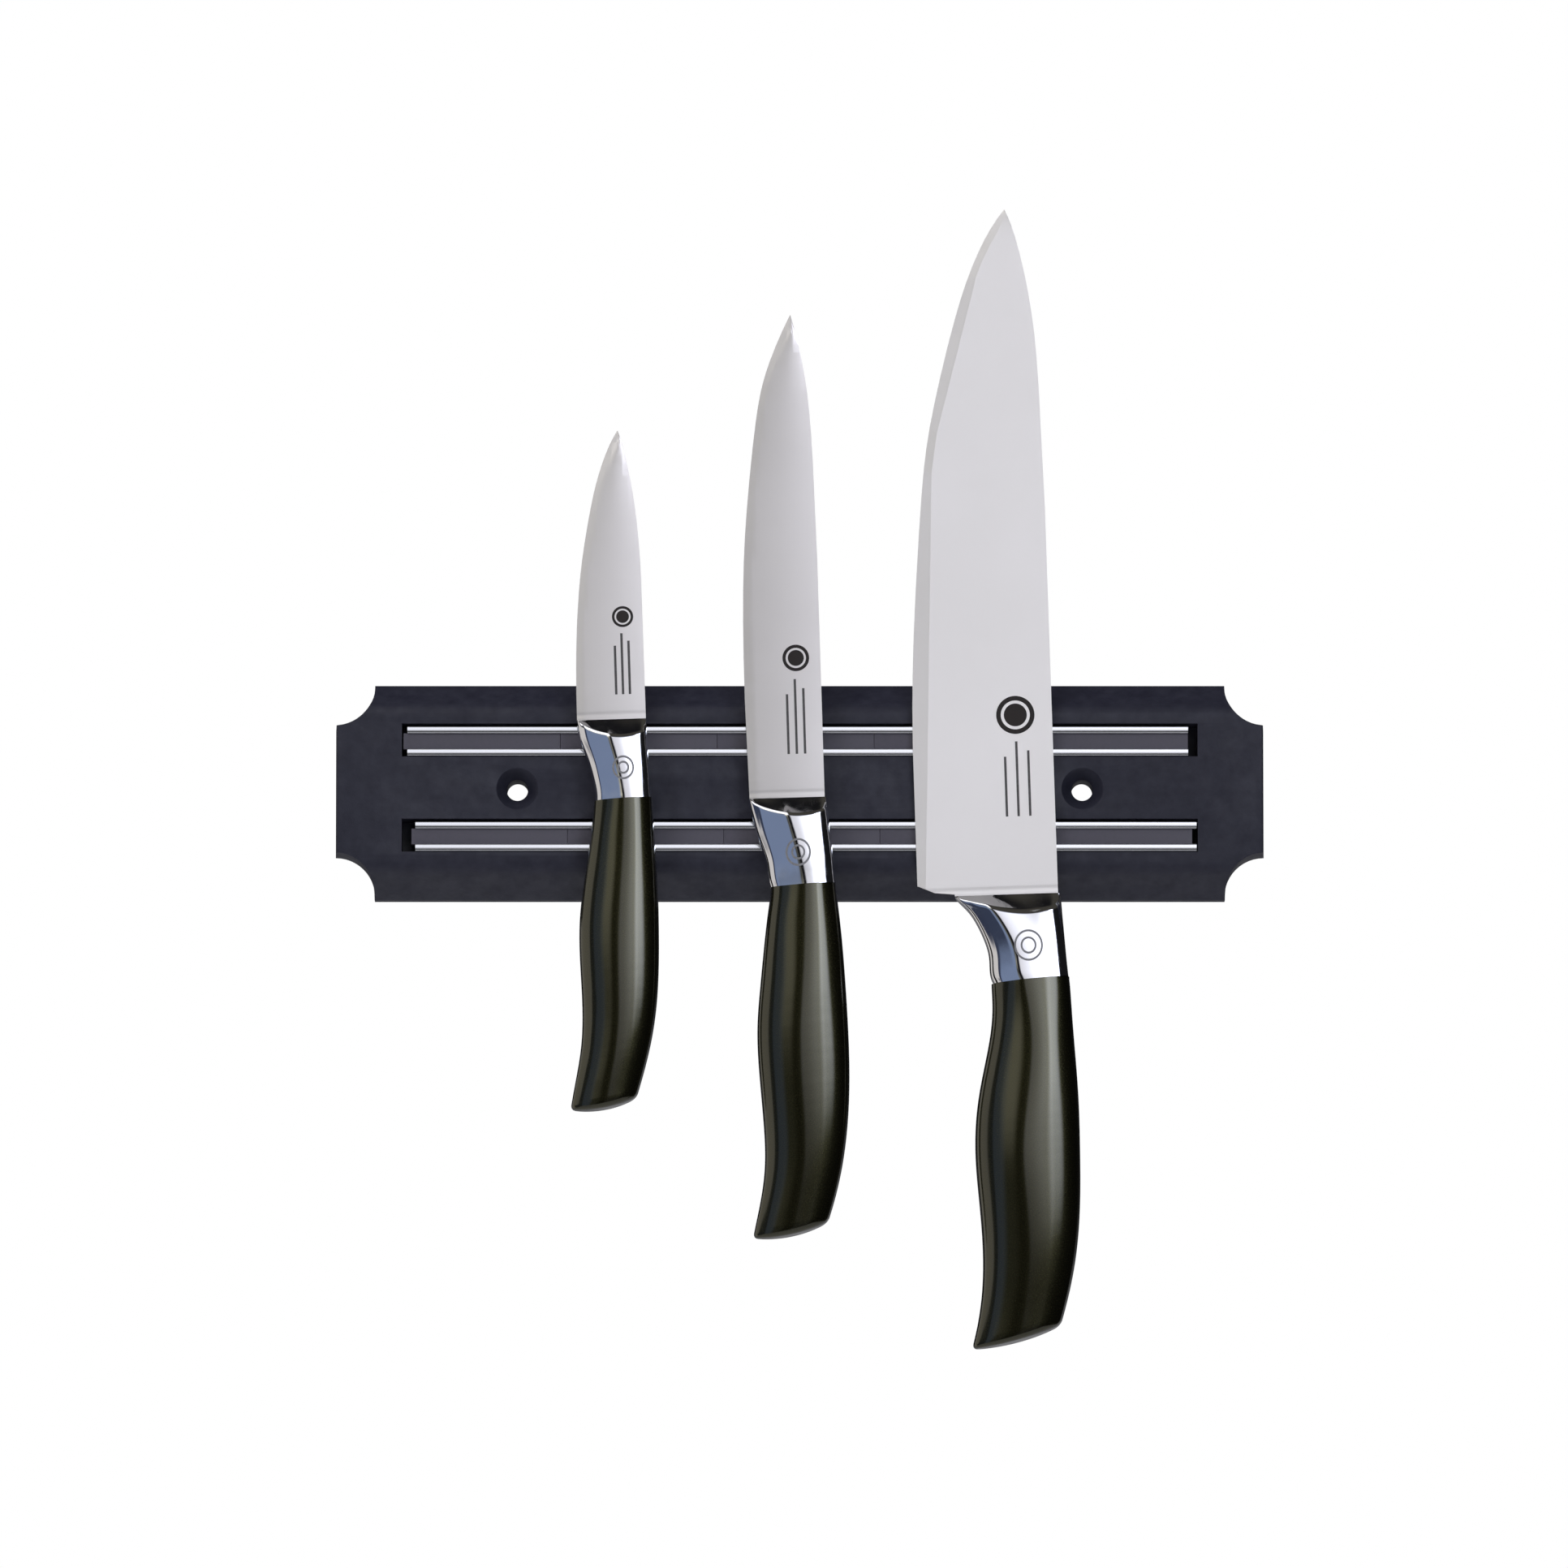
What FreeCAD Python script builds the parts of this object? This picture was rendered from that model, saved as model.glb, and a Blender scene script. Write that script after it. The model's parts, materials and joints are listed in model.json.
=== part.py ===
"""Magnetic knife rack: a moulded wall bar with two steel-faced magnet bars, holding three kitchen knives.

Units are millimetres. +X runs along the rack to the right, +Y goes into the wall and +Z is up.
The origin is the centre of the two wall screw holes, on the plane of the rack's back rim.
Every piece is written to parts/NAME.step.
"""

import FreeCAD, Part
import math
import os
from FreeCAD import Placement, Rotation, Vector

# ---------------------------------------------------------------- rack body
RACK_LENGTH = 271.6  # along the back rim
RACK_HEIGHT = 63.2
RACK_DEPTH = 15.0  # from the wall to the flat front face
END_DRAFT = 0.5  # each end wall leans in this much from rim to front face
NOTCH_R = 11.5  # concave quarter round taken out of each corner
NOTCH_DROP = 1.4  # its centre lies this far inside the long side
SKIRT_DEPTH = 4.6  # straight side wall next to the back rim
BEVEL_HEIGHT = 7.6  # how far the sloped edge reaches towards the middle
BEVEL_ROUND = 5.0  # arc that blends the slope into the front face
SKIRT_ROUND = 1.4  # arc between the side wall and the slope
WALL = 2.0  # thickness of the moulded shell
FRONT_EDGE_ROUND = 0.7

SCREW_SPACING = 165.0
SCREW_HOLE_R = 3.1
COUNTERSINK_R = 6.1
COUNTERSINK_DEPTH = 4.0
BOSS_R = 7.6

RIB_THICKNESS = 1.6
RIB_PITCH = 27.0
RIB_SETBACK = 1.2  # ribs stop short of the wall, so only the rim and bosses touch it

# ---------------------------------------------------------------- magnet bars
BAR_OFFSET = 14.0  # each bar's centre line, above and below the middle
BAR_LENGTH = 228.0
BAR_HEIGHT = 8.6
BAR_PROUD = 0.6  # the steel stands this far in front of the moulding
BAR_DEPTH = 10.4
BAR_SHIFT = {"upper": -0.6, "lower": 1.8}  # hand-placed bars sit a little off centre
POLE_THICKNESS = 2.0
MAGNET_COUNT = 5
MAGNET_RECESS = 0.9  # ferrite lies below the steel strips' front edges
MAGNET_GAP = 0.1
MAGNET_SHIFT = -1.2  # the magnets start a little left of the steel strips
MAGNET_ROW = {"upper": 229.2, "lower": 228.0}
POCKET_LENGTH = 232.4
POCKET_HEIGHT = 9.7
POCKET_DROP = 0.35  # bars rest on the lower side of their pockets
POCKET_FLOOR = 1.6
ADHESIVE_THICKNESS = 0.7  # foam tape that holds the bar in its pocket

FACE_Y = -RACK_DEPTH
POLE_FRONT_Y = FACE_Y - BAR_PROUD
POLE_BACK_Y = POLE_FRONT_Y + BAR_DEPTH
POCKET_BACK_Y = POLE_BACK_Y + ADHESIVE_THICKNESS

# ---------------------------------------------------------------- knives
EDGE_HALF = 0.1  # half thickness of the cutting edge
SHOULDER_HALF = 0.42  # half thickness where the sharpened bevel starts
COLLAR_STEP = 0.25  # the bolster's top stands this much proud of the blade, each side
CONTACT_GAP = 0.2  # air left between a held knife and the steel strips
CREASE_PLACE = {"bolster": 0.11, "grip": 0.14}  # across the handle's width
FACET_CROWN = {"bolster": 0.0, "grip": 0.3}  # how far the facet bulges
BACK_HEIGHTS = {"bolster": (0.965, 0.72), "grip": (0.94, 0.66)}  # of the half thickness
BACK_PLACE = {"bolster": 0.95, "grip": 0.93}

# Each knife is drawn upright in its own frame: s runs up the blade from the bolster's top, t runs
# across from the cutting-edge side (negative) to the spine, and y is the thickness.
# origin: x and z of that frame's zero. lean: degrees that the tip hangs to the left.
# pitch: degrees that the grip stands away from the wall.
# back: distance from the knife's middle plane to the steel strips that hold it.
# bevel: width of the sharpened edge. scoop: radius of the hollow between blade and bolster.
# blade rows: s, edge t, spine t, half thickness at the spine.
# bolster and grip rows: s, edge-side t, spine-side t, half thickness, then the place of the ridge
# across the width and the height of the edge-side crease, as shares of width and half thickness.
# tang: edge-side t, spine-side t, half thickness, length. butt: three points on its rounded end.
KNIVES = {
    "chef": {
        "origin": (75.4, -31.0),
        "lean": 1.82,
        "pitch": 0.0,
        "back": 1.25,
        "bevel": 2.4,
        "scoop": 5.0,
        "blade": [
            (0.0, -41.0, -0.1, 1.25),
            (30.3, -41.1, -0.1, 1.22),
            (60.5, -40.6, -0.1, 1.18),
            (88.8, -38.8, -0.1, 1.12),
            (113.0, -36.6, -0.1, 1.05),
            (133.2, -34.0, -0.4, 0.98),
            (151.3, -29.9, -0.8, 0.9),
            (167.5, -25.4, -1.7, 0.8),
            (180.6, -21.0, -3.4, 0.7),
            (191.2, -16.3, -5.5, 0.6),
            (197.8, -12.4, -7.3, 0.5),
            (202.1, -9.1, -9.0, 0.2),
        ],
        "heel_cut": [(3.6, -43.0), (3.2, -40.6), (1.2, -36.0), (0.6, -30.2), (-1.0, -30.2), (-1.0, -43.0)],
        "tang": (-15.0, -4.0, 1.2, 98.0),
        "bolster": [
            (0.0, -30.3, 0.6, 5.8, 0.20, 0.74),
            (-2.3, -28.7, 0.8, 5.9, 0.22, 0.72),
            (-4.8, -26.4, 0.9, 6.0, 0.24, 0.70),
            (-8.5, -24.1, 1.1, 6.2, 0.27, 0.67),
            (-13.4, -22.0, 1.4, 6.4, 0.31, 0.66),
            (-18.6, -20.8, 1.7, 6.5, 0.34, 0.66),
            (-25.4, -20.1, 2.2, 6.6, 0.38, 0.68),
        ],
        "joint_tilt": 3.7,
        "grip": [
            (-22.1, -20.2, 2.0, 6.6, 0.36, 0.68),
            (-32.1, -20.3, 2.7, 6.9, 0.42, 0.72),
            (-42.1, -21.4, 3.1, 7.4, 0.47, 0.72),
            (-52.2, -23.7, 3.6, 8.0, 0.48, 0.71),
            (-62.2, -25.7, 3.9, 8.4, 0.46, 0.71),
            (-76.2, -26.7, 3.8, 8.6, 0.43, 0.72),
            (-92.3, -25.9, 3.2, 8.35, 0.45, 0.73),
            (-106.3, -25.5, 1.6, 7.85, 0.48, 0.72),
            (-118.4, -26.4, -1.1, 7.15, 0.50, 0.70),
            (-128.4, -28.4, -4.2, 6.5, 0.52, 0.68),
            (-138.4, -31.0, -8.0, 5.7, 0.54, 0.66),
        ],
        "butt": [(-124.0, 3.0), (-130.9, -17.0), (-133.3, -34.0)],
    },
    "utility": {
        "origin": (7.35, -3.3),
        "lean": 1.7,
        "pitch": 0.0,
        "back": 6.15,
        "bevel": 1.9,
        "scoop": 5.2,
        "blade": [
            (0.0, -22.0, -0.1, 0.95),
            (25.2, -22.5, -0.1, 0.94),
            (50.4, -22.4, -0.1, 0.92),
            (74.7, -21.3, -0.2, 0.88),
            (94.8, -19.2, -0.5, 0.82),
            (110.0, -17.1, -1.0, 0.76),
            (122.1, -14.6, -2.0, 0.68),
            (131.7, -11.1, -3.5, 0.58),
            (138.2, -8.1, -4.9, 0.45),
            (142.3, -6.0, -5.9, 0.2),
        ],
        "tang": (-12.5, -4.0, 0.9, 96.0),
        "bolster": [
            (0.0, -22.2, 0.3, 5.7, 0.44, 0.52),
            (-2.9, -22.0, 0.6, 5.8, 0.45, 0.53),
            (-6.0, -21.3, 0.9, 5.9, 0.46, 0.54),
            (-9.8, -20.4, 1.2, 6.0, 0.48, 0.55),
            (-14.1, -19.1, 1.6, 6.1, 0.49, 0.57),
            (-19.1, -17.8, 2.0, 6.15, 0.50, 0.60),
            (-25.9, -16.8, 2.5, 6.15, 0.52, 0.62),
        ],
        "joint_tilt": 2.0,
        "grip": [
            (-22.6, -17.1, 2.3, 6.15, 0.51, 0.68),
            (-32.1, -17.4, 2.9, 6.5, 0.50, 0.72),
            (-42.2, -18.9, 3.7, 7.0, 0.49, 0.72),
            (-54.2, -20.4, 4.3, 7.5, 0.47, 0.71),
            (-67.3, -21.7, 4.7, 7.7, 0.45, 0.72),
            (-81.3, -21.5, 4.7, 7.6, 0.44, 0.73),
            (-95.4, -20.7, 3.8, 7.25, 0.46, 0.72),
            (-107.4, -20.7, 2.0, 6.75, 0.48, 0.70),
            (-117.5, -22.2, -0.5, 6.15, 0.50, 0.69),
            (-126.5, -24.3, -3.6, 5.5, 0.52, 0.67),
            (-134.5, -26.6, -7.2, 4.9, 0.54, 0.66),
        ],
        "butt": [(-122.3, 3.0), (-128.0, -13.0), (-128.8, -29.0)],
    },
    "paring": {
        "origin": (-45.0, 19.8),
        "lean": 1.75,
        "pitch": 1.2,
        "back": 5.4,
        "bevel": 1.7,
        "scoop": 5.0,
        "blade": [
            (0.0, -20.0, 0.1, 0.85),
            (16.1, -19.8, 0.0, 0.84),
            (32.3, -18.9, 0.0, 0.82),
            (46.4, -17.3, -0.2, 0.78),
            (58.5, -15.1, -0.9, 0.72),
            (68.1, -12.9, -2.0, 0.64),
            (76.2, -10.3, -3.4, 0.54),
            (81.7, -7.9, -4.6, 0.42),
            (85.3, -5.8, -5.6, 0.2),
        ],
        "tang": (-12.0, -4.0, 0.8, 82.0),
        "bolster": [
            (0.0, -20.1, 0.2, 5.3, 0.42, 0.58),
            (-2.9, -19.9, 0.3, 5.4, 0.43, 0.59),
            (-6.0, -19.3, 0.4, 5.45, 0.44, 0.60),
            (-9.3, -18.2, 0.5, 5.5, 0.45, 0.61),
            (-13.1, -17.0, 0.7, 5.55, 0.46, 0.62),
            (-17.6, -16.0, 0.9, 5.6, 0.47, 0.64),
            (-23.7, -15.4, 1.2, 5.7, 0.49, 0.66),
        ],
        "joint_tilt": 1.5,
        "grip": [
            (-20.6, -15.6, 1.1, 5.65, 0.48, 0.68),
            (-29.1, -16.3, 1.5, 5.9, 0.48, 0.71),
            (-38.2, -17.7, 1.8, 6.3, 0.48, 0.72),
            (-48.2, -19.5, 2.1, 6.8, 0.47, 0.71),
            (-60.3, -21.0, 2.1, 7.1, 0.46, 0.72),
            (-73.4, -21.1, 1.7, 7.1, 0.45, 0.72),
            (-86.4, -20.9, 0.5, 6.8, 0.46, 0.71),
            (-97.5, -21.8, -1.7, 6.35, 0.48, 0.70),
            (-107.5, -23.8, -4.6, 5.75, 0.50, 0.68),
            (-115.6, -25.4, -7.3, 5.15, 0.52, 0.67),
            (-121.6, -26.7, -9.5, 4.7, 0.54, 0.66),
        ],
        "butt": [(-109.0, 1.0), (-113.9, -13.5), (-114.4, -31.0)],
    },
}


def box(x0, x1, y0, y1, z0, z1):
    """A box between two corners."""
    return Part.makeBox(x1 - x0, y1 - y0, z1 - z0, Vector(x0, y0, z0))


def cylinder_y(radius, y0, y1, x, z):
    """A cylinder whose axis runs along Y."""
    return Part.makeCylinder(radius, y1 - y0, Vector(x, y0, z), Vector(0, 1, 0))


# ---------------------------------------------------------------- rack body
def rounded_outline(corners):
    """A flat face through corner points, each given with the radius of its rounding."""
    arcs, ends = [], []
    for i, (point, radius) in enumerate(corners):
        if not radius:
            ends.append((point, point))
            continue
        before = (corners[i - 1][0] - point).normalize()
        after = (corners[(i + 1) % len(corners)][0] - point).normalize()
        half_angle = before.getAngle(after) / 2
        reach = radius / math.tan(half_angle)
        inward = (before + after).normalize()
        middle = point + inward * (radius / math.sin(half_angle) - radius)
        ends.append((point + before * reach, point + after * reach))
        arcs.append(Part.Arc(ends[-1][0], middle, ends[-1][1]).toShape())
    lines = [Part.makeLine(ends[i - 1][1], ends[i][0]) for i in range(len(ends))]
    return Part.Face(Part.Wire(Part.__sortEdges__(arcs + lines)))


def bevel_profile(inset):
    """The rack's cross-section as a face in the YZ plane, with every outer side moved in by inset."""
    half = RACK_HEIGHT / 2 - inset
    front = FACE_Y + inset
    shoulder = RACK_HEIGHT / 2 - BEVEL_HEIGHT
    corners = [
        (Vector(0, 0, half), 0),
        (Vector(0, -SKIRT_DEPTH, half), SKIRT_ROUND),
        (Vector(0, front, shoulder), BEVEL_ROUND),
        (Vector(0, front, -shoulder), BEVEL_ROUND),
        (Vector(0, -SKIRT_DEPTH, -half), SKIRT_ROUND),
        (Vector(0, 0, -half), 0),
    ]
    return rounded_outline(corners)


def notched_bar(inset, length):
    """The cross-section run along X, with the four corner notches taken out."""
    face = bevel_profile(inset)
    face.translate(Vector(-length / 2, 0, 0))
    bar = face.extrude(Vector(length, 0, 0))
    radius = NOTCH_R + inset
    for x in (-RACK_LENGTH / 2, RACK_LENGTH / 2):
        for side in (-1, 1):
            centre = side * (RACK_HEIGHT / 2 - NOTCH_DROP)
            beyond = side * RACK_HEIGHT
            low, high = min(centre, beyond), max(centre, beyond)
            bar = bar.cut(cylinder_y(radius, -RACK_DEPTH - 1, 1, x, centre))
            bar = bar.cut(box(x - radius, x + radius, -RACK_DEPTH - 1, 1, low, high))
    return bar


def end_drafts():
    """A prism that gives the end walls their slope and rounds them into the front face."""
    back, front = RACK_LENGTH / 2, RACK_LENGTH / 2 - END_DRAFT
    corners = [
        (Vector(-back, 0, -RACK_HEIGHT), 0),
        (Vector(-front, FACE_Y, -RACK_HEIGHT), FRONT_EDGE_ROUND),
        (Vector(front, FACE_Y, -RACK_HEIGHT), FRONT_EDGE_ROUND),
        (Vector(back, 0, -RACK_HEIGHT), 0),
    ]
    return rounded_outline(corners).extrude(Vector(0, 0, 2 * RACK_HEIGHT))


def pocket_box(bar, grow, y0, y1):
    """A box round one magnet pocket, grown on its four sides."""
    centre = (1 if bar == "upper" else -1) * BAR_OFFSET + POCKET_DROP
    return box(
        -POCKET_LENGTH / 2 - grow,
        POCKET_LENGTH / 2 + grow,
        y0,
        y1,
        centre - POCKET_HEIGHT / 2 - grow,
        centre + POCKET_HEIGHT / 2 + grow,
    )


def ribs():
    """Cross ribs and one long rib that stiffen the open back."""
    half = RACK_HEIGHT / 2
    back = -RIB_SETBACK
    found = []
    count = int(RACK_LENGTH / 2 / RIB_PITCH)
    for i in range(-count, count + 1):
        x = i * RIB_PITCH
        if abs(x) < RACK_LENGTH / 2 - WALL:
            found.append(box(x - RIB_THICKNESS / 2, x + RIB_THICKNESS / 2, FACE_Y + 0.5, back, -half, half))
    long_rib = box(
        -RACK_LENGTH / 2, RACK_LENGTH / 2, FACE_Y + 0.5, back, -RIB_THICKNESS / 2, RIB_THICKNESS / 2
    )
    return found + [long_rib]


def rack_body():
    """The moulded front shell: hollow ribbed back, two magnet pockets and two countersunk screw bosses."""
    outer = notched_bar(0.0, RACK_LENGTH).common(end_drafts())
    cavity = notched_bar(WALL, RACK_LENGTH - 2 * WALL)
    shell = outer.cut(cavity)
    inside = ribs()
    for bar in ("upper", "lower"):
        inside.append(pocket_box(bar, POCKET_FLOOR, FACE_Y + 0.5, POCKET_BACK_Y + POCKET_FLOOR))
    for side in (-1, 1):
        inside.append(cylinder_y(BOSS_R, FACE_Y + 0.5, 0, side * SCREW_SPACING / 2, 0))
    filling = inside[0].multiFuse(inside[1:]).common(cavity)
    body = shell.fuse(filling)
    for bar in ("upper", "lower"):
        body = body.cut(pocket_box(bar, 0.0, FACE_Y - 1, POCKET_BACK_Y))
    for side in (-1, 1):
        x = side * SCREW_SPACING / 2
        body = body.cut(cylinder_y(SCREW_HOLE_R, FACE_Y - 1, 1, x, 0))
        cone = Part.makeCone(
            COUNTERSINK_R, SCREW_HOLE_R, COUNTERSINK_DEPTH, Vector(x, FACE_Y, 0), Vector(0, 1, 0)
        )
        body = body.cut(cone)
    return body.removeSplitter()


# ---------------------------------------------------------------- magnet bars
def magnet_bar(bar):
    """One bar's pieces by name: two steel pole strips, a row of ferrite magnets and the tape behind them."""
    centre_z = (1 if bar == "upper" else -1) * BAR_OFFSET
    centre_x = BAR_SHIFT[bar]
    left, right = centre_x - BAR_LENGTH / 2, centre_x + BAR_LENGTH / 2
    low, high = centre_z - BAR_HEIGHT / 2, centre_z + BAR_HEIGHT / 2
    pieces = {}
    for name, z0 in (("top", high - POLE_THICKNESS), ("bottom", low)):
        strip = box(left, right, POLE_FRONT_Y, POLE_BACK_Y, z0, z0 + POLE_THICKNESS)
        front = [e for e in strip.Edges if all(abs(v.Y - POLE_FRONT_Y) < 1e-3 for v in e.Vertexes)]
        pieces[f"{bar}_{name}_pole"] = strip.makeFillet(0.25, front)
    pitch = MAGNET_ROW[bar] / MAGNET_COUNT
    for i in range(MAGNET_COUNT):
        x = left + MAGNET_SHIFT + i * pitch
        magnet = box(
            x + MAGNET_GAP / 2,
            x + pitch - MAGNET_GAP / 2,
            POLE_FRONT_Y + MAGNET_RECESS,
            POLE_BACK_Y,
            low + POLE_THICKNESS,
            high - POLE_THICKNESS,
        )
        pieces[f"{bar}_magnet_{i + 1}"] = magnet
    pieces[f"{bar}_adhesive"] = box(left, right, POLE_BACK_Y, POCKET_BACK_Y, low, high)
    return pieces


# ---------------------------------------------------------------- knives
def curve_through(points):
    """A smooth edge through a few points."""
    curve = Part.BSplineCurve()
    curve.interpolate(Points=points)
    return curve.toShape()


def blade_corners(row, bevel):
    """A blade's section at one station: spine, start of the sharpened bevel and cutting edge, both sides."""
    s, edge, spine, half = row
    width = spine - edge
    shoulder = edge + min(bevel, 0.45 * width)
    shoulder_half = min(SHOULDER_HALF, 0.7 * half)
    edge_half = min(EDGE_HALF, 0.5 * half)
    return [
        Vector(spine, half, s),
        Vector(shoulder, shoulder_half, s),
        Vector(edge, edge_half, s),
        Vector(edge, -edge_half, s),
        Vector(shoulder, -shoulder_half, s),
        Vector(spine, -half, s),
    ]


def blade(knife):
    """Blade and hidden tang, in one piece of steel."""
    sections = [blade_corners(row, knife["bevel"]) for row in knife["blade"]]
    lines = [curve_through(list(points)) for points in zip(*sections)]
    faces = [Part.makeRuledSurface(lines[i - 1], lines[i]) for i in range(len(lines))]
    for section in (sections[0], sections[-1]):
        faces.append(Part.Face(Part.makePolygon(section + section[:1])))
    shell = Part.makeShell(faces)
    shell.sewShape()
    solid = Part.makeSolid(shell)
    if solid.Volume < 0:
        solid.reverse()
    if "heel_cut" in knife:
        points = [Vector(t, -5, s) for s, t in knife["heel_cut"]]
        solid = solid.cut(Part.Face(Part.makePolygon(points + points[:1])).extrude(Vector(0, 10, 0)))
    return solid.fuse(tang(knife)).removeSplitter()


def tang(knife):
    """The flat tongue that runs from the blade through the bolster into the grip."""
    edge, spine, half, length = knife["tang"]
    return box(edge, spine, -half, half, -length, 0.0)


def handle_wire(row, kind):
    """A handle's section: a narrow rim on the edge side, a crease, a facet, a ridge and a round back."""
    s, edge, spine, half, ridge, crease = row
    crease_place = CREASE_PLACE[kind]
    middle = (crease_place + ridge) / 2
    shoulder_height, back_height = BACK_HEIGHTS[kind]
    edges = []
    for side in (1, -1):

        def at(across, high):
            return Vector(edge + across * (spine - edge), side * high * half, s)

        tip, back = at(0.0, 0.0), at(1.0, 0.0)
        crease_point, ridge_point = at(crease_place, crease), at(ridge, 1.0)
        rim = Part.BSplineCurve()
        rim.interpolate(
            Points=[tip, at(0.2 * crease_place, 0.6 * crease), crease_point],
            InitialTangent=Vector(0, side, 0),
            FinalTangent=Vector(1.0, 0.8 * side, 0),
        )
        if FACET_CROWN[kind]:
            crown_point = at(middle, (crease + 1) / 2) + Vector(0, side * FACET_CROWN[kind], 0)
            facet = Part.Arc(crease_point, crown_point, ridge_point).toShape()
        else:
            facet = Part.makeLine(crease_point, ridge_point)
        back_curve = Part.BSplineCurve()
        back_curve.interpolate(
            Points=[
                ridge_point,
                at(ridge + 0.52 * (1 - ridge), shoulder_height),
                at(BACK_PLACE[kind], back_height),
                back,
            ],
            InitialTangent=Vector(1.0, 0.02 * side, 0),
            FinalTangent=Vector(0, -side, 0),
        )
        half_loop = [rim.toShape(), facet, back_curve.toShape()]
        edges += half_loop if side == 1 else half_loop[::-1]
    return Part.Wire(edges)


def handle_part(knife, rows, kind):
    """A lofted stretch of the handle, cut at the slightly tilted joint between bolster and grip."""
    reach = 80.0
    solid = Part.makeLoft([handle_wire(row, kind) for row in rows], True, False)
    s, edge, spine = knife["bolster"][-1][:3]
    low = 0 if kind == "bolster" else -2 * reach
    high = low + 2 * reach
    keep = box(-reach, reach, -reach, reach, low, high)
    keep.rotate(Vector(0, 0, 0), Vector(0, 1, 0), -knife["joint_tilt"])
    keep.translate(Vector((edge + spine) / 2, 0, s))
    return solid.common(keep)


def bolster(knife):
    """Polished collar between blade and grip, scooped out on both sides where it meets the blade."""
    solid = handle_part(knife, knife["bolster"] + knife["grip"][1:2], "bolster")
    radius = knife["scoop"]
    blade_half = knife["blade"][0][3]
    for side in (-1, 1):
        axis = Vector(-60, side * (blade_half + COLLAR_STEP + radius), 0)
        solid = solid.cut(Part.makeCylinder(radius, 120, axis, Vector(1, 0, 0)))
    return solid.cut(tang(knife)).removeSplitter()


def grip(knife):
    """Moulded handle with a closed slot for the tang and a slanted, slightly curved butt."""
    solid = handle_part(knife, knife["grip"], "grip")
    first, middle, last = (Vector(t, -20, s) for s, t in knife["butt"])
    below_last = last - Vector(0, 0, 40)
    below_first = Vector(first.x, first.y, below_last.z)
    edges = [
        Part.Arc(first, middle, last).toShape(),
        Part.makeLine(last, below_last),
        Part.makeLine(below_last, below_first),
        Part.makeLine(below_first, first),
    ]
    solid = solid.cut(Part.Face(Part.Wire(edges)).extrude(Vector(0, 40, 0)))
    return solid.cut(tang(knife))


def placed(shape, knife):
    """Leans a knife as it hangs and moves it in front of the rack."""
    x, z = knife["origin"]
    lean = Rotation(Vector(0, 1, 0), -knife["lean"])
    pitch = Rotation(Vector(1, 0, 0), -knife["pitch"])
    y = POLE_FRONT_Y - CONTACT_GAP - knife["back"]
    shape = shape.copy()
    shape.Placement = Placement(Vector(x, y, z), pitch.multiply(lean))
    return shape


def pieces():
    """Every piece of the object, by node name."""
    made = {"rack_body": rack_body()}
    for bar in ("upper", "lower"):
        made.update(magnet_bar(bar))
    for name, knife in KNIVES.items():
        made[f"{name}_blade"] = placed(blade(knife), knife)
        made[f"{name}_bolster"] = placed(bolster(knife), knife)
        made[f"{name}_grip"] = placed(grip(knife), knife)
    return made


def main():
    os.makedirs("parts", exist_ok=True)
    for name, shape in pieces().items():
        print(f"{name:20s} valid {shape.isValid()}  solids {len(shape.Solids)}  volume {shape.Volume:10.1f} mm3")
        shape.exportStep(f"parts/{name}.step")


main()
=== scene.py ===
"""Looks of the magnetic knife rack: materials, softened edges, polished handles, studio and camera.

Everything is in metres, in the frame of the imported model: +X right, +Y into the wall, +Z up.
"""

import json
import math

import bmesh
import bpy
import numpy as np
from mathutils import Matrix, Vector
from mathutils.bvhtree import BVHTree


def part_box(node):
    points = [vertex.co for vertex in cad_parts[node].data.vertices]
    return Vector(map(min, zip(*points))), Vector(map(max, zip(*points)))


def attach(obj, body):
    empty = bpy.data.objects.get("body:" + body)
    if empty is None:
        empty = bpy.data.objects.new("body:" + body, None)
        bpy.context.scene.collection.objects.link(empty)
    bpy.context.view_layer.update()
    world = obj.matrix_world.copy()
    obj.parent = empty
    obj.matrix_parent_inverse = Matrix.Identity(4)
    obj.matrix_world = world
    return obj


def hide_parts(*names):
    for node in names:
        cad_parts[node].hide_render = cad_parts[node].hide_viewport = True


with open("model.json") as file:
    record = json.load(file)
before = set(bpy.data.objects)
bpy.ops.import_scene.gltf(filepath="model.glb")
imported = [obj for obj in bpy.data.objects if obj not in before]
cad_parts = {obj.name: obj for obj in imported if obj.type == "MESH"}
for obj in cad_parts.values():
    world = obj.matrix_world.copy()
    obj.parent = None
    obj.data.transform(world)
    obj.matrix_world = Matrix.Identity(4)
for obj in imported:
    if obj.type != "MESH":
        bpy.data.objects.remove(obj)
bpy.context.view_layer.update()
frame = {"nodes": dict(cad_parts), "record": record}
nodes = frame["nodes"]
MM = 0.001

KNIVES = ("chef", "utility", "paring")
POLES = ("upper_top_pole", "upper_bottom_pole", "lower_top_pole", "lower_bottom_pole")
MAGNETS = [f"{bar}_magnet_{k}" for bar in ("upper", "lower") for k in range(1, 6)]

# Surfaces
CAD_WELD = 2e-6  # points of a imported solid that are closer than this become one
SKIN_WELD = 1e-6
MARK_WELD = 1e-7
FLAT_ANGLE = 0.6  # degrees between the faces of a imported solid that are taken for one
BODY_EDGE = 0.25 * MM
MAGNET_EDGE = 0.06 * MM
BLADE_EDGE = 0.08 * MM
POLE_EDGE = 0.16 * MM
POLE_SAG = 0.065 * MM  # how far a pole's front falls back from its middle line to its edges

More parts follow.
